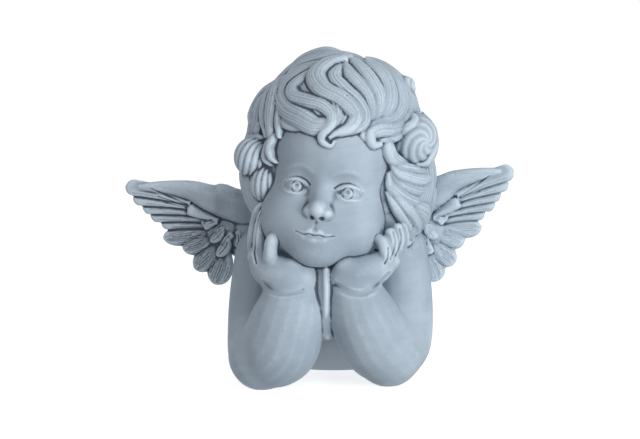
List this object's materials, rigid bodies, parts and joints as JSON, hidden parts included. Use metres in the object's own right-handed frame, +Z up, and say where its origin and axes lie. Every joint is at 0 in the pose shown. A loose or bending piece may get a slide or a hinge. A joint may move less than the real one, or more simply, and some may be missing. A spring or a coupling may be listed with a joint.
{
  "type": "cherub bust grave statue",
  "caption": "Winged cherub bust, elbows on the ground and chin propped on both hands, cast in one piece for a grave or garden.",
  "frame": {"origin": "in the flat underside of the chest, on the middle plane between the elbows", "axes": "the face looks to -Y, +Z is up, +X is the bust's own left, on the right seen from the front"},
  "size_m": [0.3257, 0.1749, 0.2673],
  "materials": {
    "weathered_stone": "matt blue-grey cast stone with a darker wash in the hollows"
  },
  "bodies": {
    "root": {"cherub_bust": "weathered_stone"}
  },
  "joints": []
}
